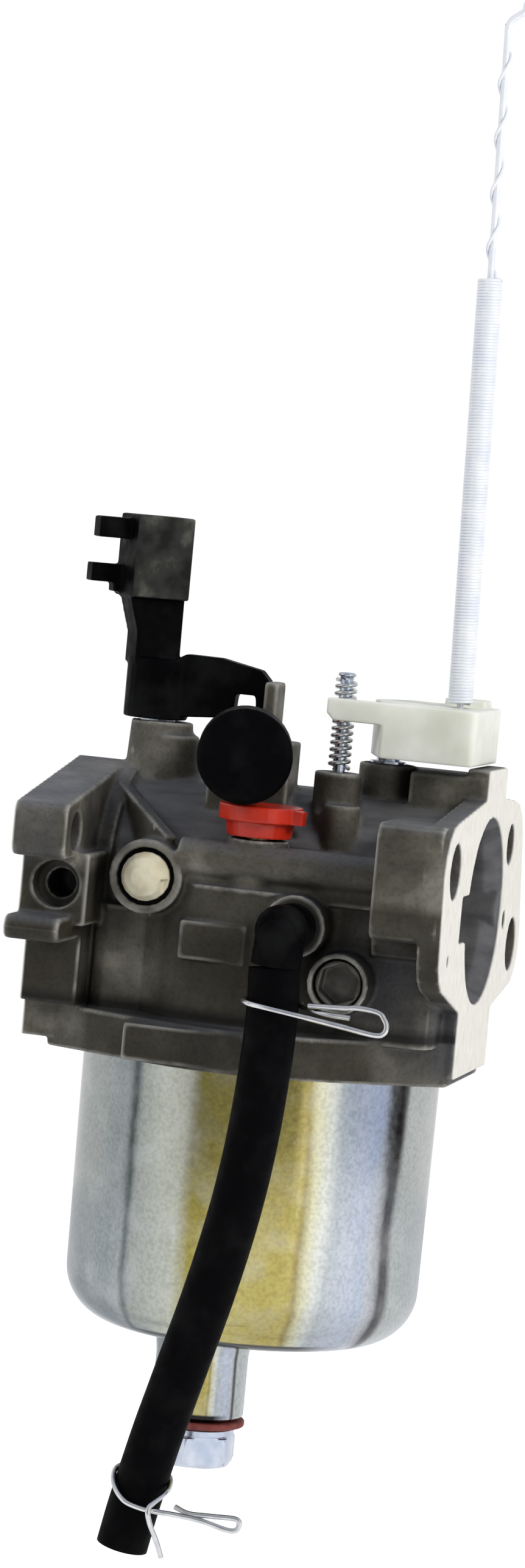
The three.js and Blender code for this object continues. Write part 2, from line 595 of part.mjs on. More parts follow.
castBody();
bowlAndBolt();
floatAndNeedle();
jets();
shaftSet('throttle', throttleX, throttleBore, 30.6, 3.9, throttleBossTop, spigotRadius);
shaftSet('choke', chokeX, chokeBore, 34, 3.5, chokeBossTop, shaftRadius);
throttleLever();
chokeLever();
idleScrew();
mixtureScrew();
portPieces();
passagePlug();
fuelInlet();
clamps();
governorLink();

export default carburetor;
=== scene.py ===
import json
import math

import bpy
import numpy as np
from mathutils import Matrix, Vector


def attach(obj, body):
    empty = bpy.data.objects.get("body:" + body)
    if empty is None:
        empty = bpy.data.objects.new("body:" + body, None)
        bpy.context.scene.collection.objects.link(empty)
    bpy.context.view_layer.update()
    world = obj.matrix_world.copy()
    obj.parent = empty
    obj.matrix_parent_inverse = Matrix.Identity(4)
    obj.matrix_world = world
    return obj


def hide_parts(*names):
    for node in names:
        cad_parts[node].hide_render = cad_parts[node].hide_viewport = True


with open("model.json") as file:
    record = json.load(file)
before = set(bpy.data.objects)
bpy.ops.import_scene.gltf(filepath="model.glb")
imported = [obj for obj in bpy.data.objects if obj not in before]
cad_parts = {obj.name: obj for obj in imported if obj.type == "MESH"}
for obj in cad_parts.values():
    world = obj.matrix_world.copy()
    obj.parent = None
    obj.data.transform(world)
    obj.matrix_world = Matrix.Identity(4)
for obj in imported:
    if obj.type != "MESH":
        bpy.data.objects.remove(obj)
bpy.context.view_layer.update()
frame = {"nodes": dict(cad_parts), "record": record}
nodes = frame["nodes"]
MM = 0.001

# ---- Camera ------------------------------------------------------------------------------

VIEW_AZIMUTH = math.radians(13)
VIEW_ELEVATION = math.radians(3.5)
VIEW_ROLL = math.radians(5.3)
VIEW_DISTANCE = 0.839
VIEW_TARGET = Vector((-0.0380, -0.0076, 0.0176))
LENS_MM = 116
SENSOR_MM = 36


def make_camera():
    """A long lens aimed at the middle of the part, rolled about its line of sight."""
    back = Vector((math.sin(VIEW_AZIMUTH) * math.cos(VIEW_ELEVATION),
                   -math.cos(VIEW_AZIMUTH) * math.cos(VIEW_ELEVATION),
                   math.sin(VIEW_ELEVATION)))
    level = Vector((math.cos(VIEW_AZIMUTH), math.sin(VIEW_AZIMUTH), 0))
    rise = back.cross(level)
    right = level * math.cos(VIEW_ROLL) + rise * math.sin(VIEW_ROLL)
    up = rise * math.cos(VIEW_ROLL) - level * math.sin(VIEW_ROLL)
    place = VIEW_TARGET + back * VIEW_DISTANCE
    data = bpy.data.cameras.new("camera")
    data.sensor_fit = "VERTICAL"
    data.sensor_height = SENSOR_MM
    data.lens = LENS_MM
    camera = bpy.data.objects.new("camera", data)
    camera.matrix_world = Matrix((
        (right.x, up.x, back.x, place.x),
        (right.y, up.y, back.y, place.y),
        (right.z, up.z, back.z, place.z),
        (0, 0, 0, 1)))
    bpy.context.scene.collection.objects.link(camera)
    bpy.context.scene.camera = camera


make_camera()

# ---- Paths and meshes --------------------------------------------------------------------


def smooth_path(points, steps):
    """Points along a Catmull-Rom curve through the given points."""
    given = np.array(points, float)
    given = np.vstack([2 * given[0] - given[1], given, 2 * given[-1] - given[-2]])
    out = []
    for i in range(1, len(given) - 2):
        before, a, b, after = given[i - 1:i + 3]
        for t in np.arange(steps) / steps:
            out.append(0.5 * (2 * a + (b - before) * t + (2 * before - 5 * a + 4 * b - after) * t ** 2
                              + (3 * a - before - 3 * b + after) * t ** 3))
    out.append(given[-2])
    return np.array(out)


def ring_frames(path):
    """Two unit vectors across the path at each point, carried along it without twist."""
    tangents = np.gradient(path, axis=0)
    tangents /= np.linalg.norm(tangents, axis=1)[:, None]
    side = np.cross(tangents[0], [0.3, 0.9, 0.2])
    frames = []
    for tangent in tangents:
        side = side - tangent * (side @ tangent)
        side /= np.linalg.norm(side)
        frames.append((side, np.cross(tangent, side)))
    return frames


def skin_of_rings(rings, closed):
    """Faces between rings of equal count; the ends are capped unless the rings close on themselves."""
    count = len(rings[0])
    vertices = [tuple(p) for ring in rings for p in ring]
    faces = []
    for i in range(len(rings) if closed else len(rings) - 1):
        j = (i + 1) % len(rings)
        for k in range(count):
            m = (k + 1) % count
            faces.append((i * count + k, i * count + m, j * count + m, j * count + k))
    if not closed:
        faces.append(tuple(reversed(range(count))))
        faces.append(tuple(range((len(rings) - 1) * count, len(rings) * count)))
    return vertices, faces


def lathe(profile, centre, axis, segments):
    """Turns a closed outline of (radius, height), in mm, about an axis through centre, in mm."""
    rings = []
    for radius, height in profile:
        ring = []
        for k in range(segments):
            angle = 2 * math.pi * k / segments
            a, b = radius * math.cos(angle), radius * math.sin(angle)
            if axis == "z":
                point = (centre[0] + a, centre[1] + b, height)
            else:
                point = (centre[0] + a, height, centre[1] - b)
            ring.append([c * MM for c in point])
        rings.append(ring)
    return skin_of_rings(rings, True)


def rounded_profile(points, radius, steps=5):
    """The closed outline with each corner rounded by about the given radius."""
    out = []
    count = len(points)
    for i in range(count):
        before, here, after = (Vector(points[(i + d) % count]) for d in (-1, 0, 1))
        to_before, to_after = before - here, after - here
        cut = min(radius, to_before.length * 0.45, to_after.length * 0.45)
        if here.x < 1e-6 or cut < 1e-4:
            out.append(tuple(here))
            continue
        start = here + to_before.normalized() * cut
        end = here + to_after.normalized() * cut
        for k in range(steps + 1):
            t = k / steps
            out.append(tuple((1 - t) ** 2 * start + 2 * t * (1 - t) * here + t * t * end))
    return out


def place_piece(piece, body, slot, replaced, look=None):
    """Puts a piece on its CAD body, in the slot's own finish unless another look is named."""
    bpy.context.scene.collection.objects.link(piece)
    piece.data.materials.clear()
    piece.data.materials.append(finishes[look or slot])
    if piece.type == "MESH":
        piece.data.shade_smooth()
    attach(piece, body)
    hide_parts(*replaced)
    return piece


def make_piece(name, geometry, body, slot, replaced, look=None):
    """A new smooth-shaded piece from its vertices, in metres, and its faces."""
    vertices, faces = geometry
    mesh = bpy.data.meshes.new(name)
    mesh.from_pydata([tuple(v) for v in vertices], [], faces)
    mesh.validate()
    return place_piece(bpy.data.objects.new(name, mesh), body, slot, replaced, look)


def wire(name, path, radius, body, slot, replaced, look=None, resolution=3):
    """A round wire along a path of points, as one open spline; path and radius are in mm."""
    curve = bpy.data.curves.new(name, "CURVE")
    curve.dimensions = "3D"
    curve.bevel_depth = radius * MM
    curve.bevel_resolution = resolution
    curve.use_fill_caps = True
    spline = curve.splines.new("POLY")
    spline.points.add(len(path) - 1)
    spline.points.foreach_set("co", np.hstack([path * MM, np.ones((len(path), 1))]).ravel())
    spline.use_smooth = True
    return place_piece(bpy.data.objects.new(name, curve), body, slot, replaced, look)


def baked(piece):
    """Replaces the piece's mesh by what its modifiers make of it."""
    bpy.context.view_layer.update()
    evaluated = piece.evaluated_get(bpy.context.evaluated_depsgraph_get())
    mesh = bpy.data.meshes.new_from_object(evaluated)
    piece.modifiers.clear()
    piece.data = mesh


def refined(node, name, voxel_mm, rounds, body, slot, look=None):
    """The node's own shape with its edges and inner corners rounded like a casting or moulding."""
    piece = bpy.data.objects.new(name, nodes[node].data.copy())
    bpy.context.scene.collection.objects.link(piece)
    remesh = piece.modifiers.new("remesh", "REMESH")
    remesh.mode = "VOXEL"
    remesh.voxel_size = voxel_mm * MM
    relax = piece.modifiers.new("relax", "SMOOTH")
    relax.factor = 0.5
    relax.iterations = rounds
    baked(piece)
    bpy.context.scene.collection.objects.unlink(piece)
    return place_piece(piece, body, slot, [node], look)


# ---- Finishes ----------------------------------------------------------------------------

BLACK = (0, 0, 0)
WHITE = (1, 1, 1)


class Nodes:
    """Short ways to build a node tree, whose patterns lie in one of the texture coordinates."""

    def __init__(self, tree, coordinate):
        self.tree = tree
        self.place = self.node("ShaderNodeTexCoord").outputs[coordinate]

    def node(self, kind, **settings):
        made = self.tree.nodes.new(kind)
        for key, value in settings.items():
            setattr(made, key, value)
        return made

    def link(self, source, target):
        self.tree.links.new(source, target)

    def feed(self, value, target):
        """Links the target to an output, or sets it to a plain number or colour."""
        if isinstance(value, bpy.types.NodeSocket):
            self.link(value, target)
        else:
            target.default_value = (*value, 1) if hasattr(value, "__len__") else value

    def noise(self, scale, detail, stretch=(1, 1, 1)):
        """Noise of the given scale (1/m), made longer along an axis whose factor is under 1."""
        mapping = self.node("ShaderNodeMapping")
        mapping.inputs["Scale"].default_value = stretch
        self.link(self.place, mapping.inputs["Vector"])
        texture = self.node("ShaderNodeTexNoise")
        texture.inputs["Scale"].default_value = scale
        texture.inputs["Detail"].default_value = detail
        self.link(mapping.outputs["Vector"], texture.inputs["Vector"])
        return texture.outputs["Fac"]

    def ramp(self, source, stops):
        """Colours by the source, from (position, colour) stops in rising order."""
        ramp = self.node("ShaderNodeValToRGB")
        elements = ramp.color_ramp.elements
        while len(elements) < len(stops):
            elements.new(0.5)
        for element, (position, colour) in zip(elements, stops):
            element.position = position
            element.color = (*colour, 1)
        self.link(source, ramp.inputs["Fac"])
        return ramp.outputs["Color"]

    def mix(self, factor, low, high, blend="MIX"):
        """low where factor is 0 and high where it is 1; any of them may be an output."""
        mixer = self.node("ShaderNodeMix", data_type="RGBA", blend_type=blend)
        inputs = {socket.identifier: socket for socket in mixer.inputs}
        self.feed(factor, inputs["Factor_Float"])
        self.feed(low, inputs["A_Color"])
        self.feed(high, inputs["B_Color"])
        return next(s for s in mixer.outputs if s.identifier == "Result_Color")

    def shaded(self, colour, level):
        """The colour times the level, which counts as 1 where it is higher."""
        return self.mix(1.0, colour, self.ramp(level, [(0, BLACK), (1, WHITE)]), "MULTIPLY")

    def math(self, operation, a, b=0.0):
        node = self.node("ShaderNodeMath", operation=operation)
        self.feed(a, node.inputs[0])
        self.feed(b, node.inputs[1])
        return node.outputs["Value"]

    def times(self, a, b):
        return self.math("MULTIPLY", a, b)

    def span(self, source, low, high, to_low=0.0, to_high=1.0):
        """Maps low..high of the source to to_low..to_high, clamped."""
        node = self.node("ShaderNodeMapRange")
        self.link(source, node.inputs["Value"])
        limits = {"From Min": low, "From Max": high, "To Min": to_low, "To Max": to_high}
        for socket, value in limits.items():
            node.inputs[socket].default_value = value
        return node.outputs["Result"]

    def part(self, vector, index):
        """One of a vector's three components."""
        split = self.node("ShaderNodeSeparateXYZ")
        self.link(vector, split.inputs["Vector"])
        return split.outputs[index]

    def axis(self, index):
        return self.part(self.place, index)


class Finish(Nodes):
    """A procedural material built around one Principled shader, in object coordinates (metres)."""

    def __init__(self, name, sockets):
        self.material = bpy.data.materials.new(name)
        self.material.use_nodes = True
        super().__init__(self.material.node_tree, "Object")
        self.shader = self.tree.nodes["Principled BSDF"]
        for socket, value in sockets.items():
            self.shader.inputs[socket].default_value = value

    def geometry(self, output):
        return self.node("ShaderNodeNewGeometry").outputs[output]

    def bump(self, heights):
        """Stacks bumps given as (height output, strength, distance in mm)."""
        normal = None
        for height, strength, distance in heights:
            bump = self.node("ShaderNodeBump")
            bump.inputs["Strength"].default_value = strength
            bump.inputs["Distance"].default_value = distance * MM
            self.link(height, bump.inputs["Height"])
            if normal is not None:
                self.link(normal, bump.inputs["Normal"])
            normal = bump.outputs["Normal"]
        self.link(normal, self.shader.inputs["Normal"])

    def colour(self, output):
        self.link(output, self.shader.inputs["Base Color"])

    def rough(self, output):
        self.link(output, self.shader.inputs["Roughness"])


def plain_finish(name, dark, light, scale, roughness, grain, grain_depth, sockets):
    """Two close colours in patches of the given size (1/m), uneven gloss and a fine grain."""
    f = Finish(name, sockets)
    f.colour(f.ramp(f.noise(scale, 4), [(0.32, dark), (0.68, light)]))
    f.rough(f.span(f.noise(scale * 2.3, 3), 0.3, 0.7, *roughness))
    f.bump([(f.noise(grain, 2), 0.35, grain_depth)])
    return f.material


# Places on the casting, in metres: the rim's top, the front wall below the ridge, and the
# machined faces and throat.
RIM_TOP = -0.0213
WALL_FRONT = -0.021
RIDGE_FOOT = 0.003
INTAKE_FACE = -0.072
ENGINE_FACE = 0
THROAT_RADIUS = 0.0176


def cast_skin(f, y, z, stain):
    """Mottled oily alloy, with painted shade on the front wall below the ridge and a painted cool skylight
    on the faces that look up.
    """
    skin = f.ramp(f.noise(95, 5), [(0.32, (0.052, 0.047, 0.036)), (0.5, (0.108, 0.100, 0.079)),
                                   (0.66, (0.215, 0.203, 0.168))])
    skin = f.mix(f.span(stain, 0.5, 0.62), skin, (0.073, 0.075, 0.084))
    # Painted shade: the front wall under the ridge is darkened in the colour, where the ridge shades it.
    painted_wall_shade = f.times(f.span(y, WALL_FRONT, WALL_FRONT - 0.002), f.span(z, RIDGE_FOOT, RIDGE_FOOT - 0.002))
    skin = f.mix(f.times(painted_wall_shade, 0.78), skin, (0.030, 0.026, 0.017))
    # Painted light: faces that look up are lightened towards a cool blue-grey, as if lit by the sky.
    dust_and_skylight = f.span(f.part(f.geometry("Normal"), 2), 0.25, 0.9, 0, 0.55)
    skin = f.mix(dust_and_skylight, skin, (0.150, 0.157, 0.176))
    return f.shaded(skin, f.span(f.noise(1500, 3), 0.36, 0.66, 0.82, 1.2))


def weathered_and_shaded(f, skin, z, stain):
    """The skin with painted shade in its corners, a painted shadow in the crease above the rim, and bare
    metal on its worn edges.
    """
    # Painted shade: ambient occlusion darkens the corners and recesses in the colour, by an amount that
    # varies with the stain noise.
    occlusion = f.node("ShaderNodeAmbientOcclusion", samples=6)
    occlusion.inputs["Distance"].default_value = 0.007
    painted_corner_shade = f.times(f.span(occlusion.outputs["AO"], 0.74, 0.3), f.span(stain, 0.3, 0.6, 0.6, 0.85))
    skin = f.mix(painted_corner_shade, skin, (0.018, 0.017, 0.015))
    worn = f.times(f.span(f.geometry("Pointiness"), 0.51, 0.55),
                   f.span(f.noise(240, 4), 0.36, 0.6, 0.35, 1))
    skin = f.mix(worn, skin, (0.37, 0.36, 0.32))
    # Painted shadow: a dark band painted along the crease just above the rim's top.
    painted_rim_crease_shade = f.times(f.span(z, RIM_TOP - 0.0001, RIM_TOP + 0.0004),
                        f.span(z, RIM_TOP + 0.0028, RIM_TOP + 0.0012))
    return f.mix(f.times(painted_rim_crease_shade, 0.85), skin, (0.010, 0.0095, 0.009))


def cast_finish():
    """Dull, oily cast alloy with worn edges; its machined faces are bright and its throat is painted dark as
    shade, with streaks along it for its machining.
    """
    f = Finish("cast_alloy", {"Metallic": 0.35, "Specular IOR Level": 0.28})
    x, y, z = (f.axis(i) for i in range(3))
    stain = f.noise(28, 4, (1, 1, 0.5))
    skin = weathered_and_shaded(f, cast_skin(f, y, z, stain), z, stain)
    faces = f.math("MAXIMUM", f.span(x, ENGINE_FACE - 0.00045, ENGINE_FACE - 0.00012),
                   f.span(x, INTAKE_FACE + 0.0004, INTAKE_FACE + 0.00012))
    radius = f.math("SQRT", f.math("ADD", f.times(y, y), f.times(z, z)))
    throat = f.span(radius, THROAT_RADIUS + 0.00005, THROAT_RADIUS - 0.00005)
    milled = f.ramp(f.noise(900, 4, (1, 1, 0.4)), [(0.3, (0.76, 0.735, 0.66)), (0.7, (0.90, 0.88, 0.80))])
    # Painted shade: the throat is coloured dark grey to stand in for the shade inside the bore; the streaks
    # along it are its machining.
    bore_streaks_and_shade = f.ramp(f.noise(300, 4, (0.2, 1, 1)), [(0.3, (0.085, 0.085, 0.088)), (0.7, (0.17, 0.17, 0.175))])
    f.colour(f.mix(faces, f.mix(throat, skin, bore_streaks_and_shade), milled))
    f.rough(f.math("SUBTRACT", f.span(f.noise(160, 4), 0.3, 0.7, 0.46, 0.66), f.times(faces, 0.12)))
    f.bump([(f.noise(700, 3), 0.5, 0.16), (f.noise(2400, 2), 0.4, 0.06)])
    return f.material


# The bowl and its stem, in mm.
BOWL_X = -35.4
BOWL_FLOOR = -74.5
STEM_X = -41
STEM_BOTTOM = -90

# Tints of the plating by direction round the bowl, with painted reflections as dark and bright upright
# streaks among them: degrees, rising to the right, and colour.
BAND_TINTS_AND_REFLECTIONS = [
    (-90, (0.32, 0.35, 0.35)), (-80, (0.38, 0.41, 0.39)), (-62, (0.41, 0.44, 0.43)),
    (-52, (0.36, 0.40, 0.40)), (-47, (0.44, 0.47, 0.46)), (-44.5, (0.17, 0.20, 0.20)),
    (-42, (0.42, 0.44, 0.41)), (-30, (0.54, 0.56, 0.49)), (-25, (0.60, 0.61, 0.51)),
    (-21, (0.42, 0.36, 0.09)), (-8, (0.58, 0.50, 0.17)), (5, (0.50, 0.42, 0.13)),
    (9, (0.54, 0.46, 0.16)), (11, (0.36, 0.30, 0.12)), (14, (0.66, 0.64, 0.42)),
    (18, (0.70, 0.72, 0.66)), (22, (0.50, 0.54, 0.56)), (31, (0.56, 0.60, 0.68)),
    (37, (0.52, 0.58, 0.68)), (41, (0.60, 0.62, 0.64)), (44, (0.46, 0.47, 0.48)),
    (46, (0.11, 0.11, 0.12)), (48.5, (0.16, 0.16, 0.16)), (51, (0.58, 0.61, 0.59)),
    (72, (0.58, 0.61, 0.59)), (90, (0.42, 0.46, 0.46)),
]


def plated_finish(name, axis_x, band_shift, crease_height):
    """Drawn steel with bright zinc, tinted yellow and blue in upright bands with painted dark and bright
    reflection streaks, and a painted shade line in a crease below.
    """
    f = Finish(name, {"Metallic": 1.0})
    x, y, z = (f.axis(i) for i in range(3))
    drift = f.span(f.noise(60, 3, (1, 1, 0.35)), 0.3, 0.7, -0.06, 0.06)
    angle = f.math("ARCTAN2", f.math("SUBTRACT", x, axis_x * MM), f.times(y, -1.0))
    turn = f.math("ADD", f.math("SUBTRACT", angle, math.radians(band_shift)), drift)
    band = f.span(turn, -math.pi / 2, math.pi / 2)
    # Painted reflection: besides the plating's yellow and blue tints, the bands hold dark and bright streaks
    # set by direction from the front.
    tint_and_reflection = f.ramp(band, [((degrees + 90) / 180, colour) for degrees, colour in BAND_TINTS_AND_REFLECTIONS])
    spangle = f.noise(1500, 3)
    tint_and_reflection = f.shaded(tint_and_reflection, f.span(spangle, 0.36, 0.64, 0.82, 1.04))
    tint_and_reflection = f.mix(f.span(f.noise(150, 5), 0.48, 0.72, 0.0, 0.22), tint_and_reflection, (0.80, 0.81, 0.80))
    low, high = (crease_height - 0.5) * MM, (crease_height + 0.5) * MM
    # Painted shade: a dark line along the crease near the bottom, on the front side only.
    painted_crease_shade = f.times(f.span(z, low - 0.0002, low), f.span(z, high + 0.0003, high))
    front = f.times(f.span(turn, math.radians(-56), math.radians(-40)),
                    f.span(turn, math.radians(40), math.radians(20)))
    f.colour(f.mix(f.times(painted_crease_shade, front), tint_and_reflection, (0.03, 0.03, 0.03)))
    f.rough(f.span(f.noise(700, 3), 0.3, 0.7, 0.08, 0.16))
    f.bump([(f.noise(60, 2), 0.2, 0.2), (spangle, 0.35, 0.004)])
    return f.material


def nylon_finish():
    f = Finish("natural_nylon", {"Subsurface Weight": 0.35, "Subsurface Scale": 0.004, "IOR": 1.53,
                                 "Subsurface Radius": (1.0, 0.95, 0.8)})
    f.colour(f.ramp(f.noise(110, 3), [(0.3, (0.60, 0.61, 0.52)), (0.7, (0.78, 0.79, 0.72))]))
    f.rough(f.span(f.noise(300, 3), 0.3, 0.7, 0.34, 0.5))
    f.bump([(f.noise(260, 2), 0.2, 0.12), (f.noise(2600, 2), 0.25, 0.02)])
    return f.material


# The block at the top of the choke lever: its turn about its post, and its front face's distance
# from the post and lower edge, in metres.
CHOKE_POST_X = -0.0599
CHOKE_TURN = math.radians(34)
BLOCK_FRONT = 0.0045
BLOCK_BOTTOM = 0.0463


def block_front(f):
    """1 on the front face of the block at the top of the choke lever, and 0 elsewhere."""
    across = f.times(f.math("SUBTRACT", f.axis(0), CHOKE_POST_X), math.sin(CHOKE_TURN))
    depth = f.math("SUBTRACT", across, f.times(f.axis(1), math.cos(CHOKE_TURN)))
    return f.times(f.span(depth, BLOCK_FRONT - 0.0003, BLOCK_FRONT),
                   f.span(f.axis(2), BLOCK_BOTTOM, BLOCK_BOTTOM + 0.0004))


def dusty_black(name, dark, dust_and_skylight, dust_scale, roughness, handled=None):
    """Black plastic or rubber with a thin, uneven grey bloom, greyer still where it is handled."""
    f = Finish(name, {"Specular IOR Level": 0.045})
    shade = f.mix(f.span(f.noise(dust_scale, 6), 0.5, 0.74), dark, dust_and_skylight)
    if handled:
        smudges = f.ramp(f.noise(230, 7), [(0.34, (0.014, 0.0145, 0.013)), (0.56, (0.034, 0.035, 0.031)),
                                           (0.72, (0.10, 0.10, 0.085))])
        shade = f.mix(handled(f), shade, smudges)
    f.colour(shade)
    f.rough(f.span(f.noise(dust_scale * 3, 3), 0.3, 0.7, *roughness))
    f.bump([(f.noise(500, 3), 0.3, 0.06), (f.noise(2600, 2), 0.4, 0.03)])
    return f.material


# Each plain finish's dark and light colours, size of patches (1/m), roughness, size (1/m) and
# depth (mm) of its grain, and its other shader values.
PLAIN_FINISHES = {
    "zinc_steel": ((0.56, 0.63, 0.76), (0.84, 0.87, 0.92), 260, (0.16, 0.3), 2600, 0.02,
                   {"Metallic": 1.0}),
    "dull_steel": ((0.07, 0.066, 0.058), (0.17, 0.16, 0.14), 320, (0.4, 0.6), 2200, 0.05,
                   {"Metallic": 0.6}),
    "spring_steel": ((0.66, 0.67, 0.69), (0.88, 0.88, 0.86), 420, (0.14, 0.28), 3000, 0.01,
                     {"Metallic": 1.0}),
    # The link's zinc is a whiter, less metallic copy of zinc_steel, with strong light painted into its
    # colour.
    "link_zinc_painted_bright": ((0.84, 0.87, 0.93), (0.95, 0.96, 0.97), 300, (0.3, 0.45), 3000, 0.01,
                  {"Metallic": 0.3}),
    "brass": ((0.42, 0.30, 0.12), (0.66, 0.50, 0.24), 260, (0.25, 0.42), 2400, 0.02,
              {"Metallic": 1.0}),
    "red_plastic": ((0.36, 0.012, 0.003), (0.50, 0.022, 0.005), 240, (0.28, 0.42), 1800, 0.03, {}),
    "cream_plastic": ((0.50, 0.45, 0.30), (0.68, 0.64, 0.48), 330, (0.32, 0.5), 1500, 0.03, {}),
    "red_fibre": ((0.13, 0.025, 0.022), (0.24, 0.055, 0.045), 500, (0.6, 0.8), 1800, 0.06, {}),
    "felt": ((0.02, 0.02, 0.018), (0.07, 0.068, 0.06), 900, (0.85, 0.95), 2600, 0.15, {}),
}

# Each black finish's own colour, its dust's colour and size (1/m), and its roughness.
INK = (0.0012, 0.0012, 0.0016)
BLACK_PLASTIC = (INK, (0.008, 0.0082, 0.008), 140, (0.38, 0.6))
BLACK_FINISHES = {
    "black_plastic": BLACK_PLASTIC,
    "handled_plastic": (*BLACK_PLASTIC, block_front),
    "float_plastic": ((0.03, 0.03, 0.03), (0.05, 0.05, 0.05), 200, (0.5, 0.65)),
    "black_rubber": (INK, (0.0045, 0.0045, 0.005), 170, (0.5, 0.68)),
}

finishes = {name: plain_finish(name, *values) for name, values in PLAIN_FINISHES.items()}
finishes.update({name: dusty_black(name, *values) for name, values in BLACK_FINISHES.items()})
finishes["cast_alloy"] = cast_finish()
finishes["plated_bowl"] = plated_finish("plated_bowl", BOWL_X, 17, BOWL_FLOOR + 1)
finishes["plated_stem"] = plated_finish("plated_stem", STEM_X, 14, STEM_BOTTOM + 0.5)
finishes["nylon"] = nylon_finish()

for subpart in frame["record"]["subparts"]:
    materials = nodes[subpart["node"]].data.materials
    materials.clear()
    materials.append(finishes[subpart["material_slot"]])

# ---- Fuel hose and its clamps ------------------------------------------------------------

HOSE_RADIUS = 4.2
HOSE_BORE = 2.3
HOSE_BORE_DEPTH = 8
HOSE_SIDES = 48
# The hose's middle, in mm, from the elbow to its open end.
HOSE_ROUTE = [
    [-26.2, -38, -9.6], [-25.9, -38.2, -16], [-26, -38.5, -23], [-26.4, -38.8, -30], [-27, -39, -37],
    [-27.9, -39.1, -44], [-29.1, -39.2, -51], [-30.6, -39.2, -58], [-32.3, -39.2, -65],
    [-34.2, -39.1, -72], [-36.1, -39, -79], [-38, -38.9, -86], [-39.7, -38.8, -93],
    [-41.2, -38.7, -99.5], [-42.4, -38.6, -105.6],
]
CLAMP_WIRE = 0.45
# The middle of each clamp's wire, in mm from the middle of the hose.
UPPER_CLAMP_ROUTE = [
    [13.6, -3.9, -0.2], [9, -3.4, 0], [5.2, -0.6, 0.3], [3.6, 3.2, 0.5], [0, 4.8, 0.6], [-3.5, 3.3, 0.6],
    [-4.8, 0, 0.5], [-3.5, -3.3, 0.3], [0, -4.8, 0], [6.5, -5, -0.8], [12.6, -5, -1.6], [18, -5, -2.3],
    [19.5, -4.9, -1.9], [19.8, -4.8, -0.8], [19.3, -4.6, 0.3], [18.2, -4.5, 1.3], [15, -4.4, 1.6],
    [12.3, -4.2, 1.3], [6.7, -3.6, 1],
]
LOWER_CLAMP_ROUTE = [
    [5.9, -4.6, -9.2], [5, -5.2, -6.5], [3.7, -5.9, -3.4], [3.4, -5.6, -1.2], [4.9, -2.8, 0.6],
    [5.2, -0.4, 1.4], [4.15, 3.3, 2.4], [0.8, 4.8, 3.4], [-2.7, 3.3, 3.6], [-4.1, 0, 3.1],
    [-3.2, -3.3, 1.2], [-1, -4.8, -0.8], [1.6, -4.6, -1.7], [4, -4.7, -1.9], [8, -4.8, -2],
    [12, -4.6, -2.4], [16, -4.4, -3.3], [17.6, -4.3, -3.2], [18.1, -4.2, -2.2], [17.4, -4.2, -1.4],
    [13.5, -4.2, -1.5], [9.6, -4.1, -1.6], [7.2, -3.7, -0.9],
]


def tube_ring(point, across, radius, sides):
    """Points, in metres, on a circle about a path's point, in mm, given two unit vectors across it."""
    u, v = across
    angles = [2 * math.pi * k / sides for k in range(sides)]
    return [(point + radius * (math.cos(a) * u + math.sin(a) * v)) * MM for a in angles]


def make_hose():
    """The hose from the elbow to its open end, where the bore is hollow; also returns its path."""
    path = smooth_path(HOSE_ROUTE, 8)
    frames = ring_frames(path)
    deep = int(np.argmax(np.linalg.norm(path - path[-1], axis=1) < HOSE_BORE_DEPTH))
    last = len(path) - 1
    stations = [(0, HOSE_RADIUS - 0.3), (0, HOSE_RADIUS)]
    stations += [(i, HOSE_RADIUS) for i in range(1, last)]
    stations += [(last, HOSE_RADIUS), (last, HOSE_RADIUS - 0.2), (last, HOSE_BORE + 0.15)]
    stations += [(i, HOSE_BORE) for i in range(last - 1, deep, -1)]
    rings = [tube_ring(path[i], frames[i], radius, HOSE_SIDES) for i, radius in stations]
    hose = make_piece("hose", skin_of_rings(rings, False), "carburetor", "black_rubber", ["fuel_hose"])
    return hose, path * MM


def make_clamp(name, node, route, centre):
    """From the bare tip, one turn of wire round the hose, then out and back as a folded ear."""
    path = smooth_path(route, 8) + np.array(centre)
    return wire(name, path, CLAMP_WIRE, "carburetor", "spring_steel", [node], resolution=4)


hose, hose_path = make_hose()
upper_clamp = make_clamp("clamp_upper", "hose_clamp_upper", UPPER_CLAMP_ROUTE, (-26, -38.2, -15.6))
lower_clamp = make_clamp("clamp_lower", "hose_clamp_lower", LOWER_CLAMP_ROUTE, (-40.5, -38.8, -96.4))


ELBOW_X = -25.9
ELBOW_Z = -3.6
ELBOW_SPIGOT = 3.3
ELBOW_SOCKET = 4.05


def make_elbow():
    """Moulded elbow: a bend that widens into the hose's socket, and a straight turned knee."""
    bend = smooth_path([[ELBOW_X, -31, ELBOW_Z], [ELBOW_X, -34.6, ELBOW_Z], [ELBOW_X, -37.1, -4.3],
                        [ELBOW_X, -38, -6.6], [-26.1, -38, -9.2]], 8)
    rings = []
    for i, (point, across) in enumerate(zip(bend, ring_frames(bend))):
        widened = min(1.0, max(0.0, (i - 7) / 8))
        radius = ELBOW_SPIGOT + (ELBOW_SOCKET - ELBOW_SPIGOT) * widened
        rings.append(tube_ring(point, across, radius, 40))
    make_piece("inlet_elbow", skin_of_rings(rings, False), "carburetor", "black_plastic", ["fuel_elbow"])
    knee = rounded_profile([(0.01, -39.9), (3.2, -39.9), (4.15, -38.4), (4.15, -35.6), (3.4, -34.6),
                            (ELBOW_SPIGOT, -31.3), (3.95, -31.3), (3.95, -29), (2.8, -29), (2.8, -23),
                            (0.01, -23)], 0.5)
    make_piece("inlet_knee", lathe(knee, (ELBOW_X, ELBOW_Z), "y", 48), "carburetor", "black_plastic",
               ["fuel_elbow"])


make_elbow()

# ---- Cast body, bowl and bolt ------------------------------------------------------------

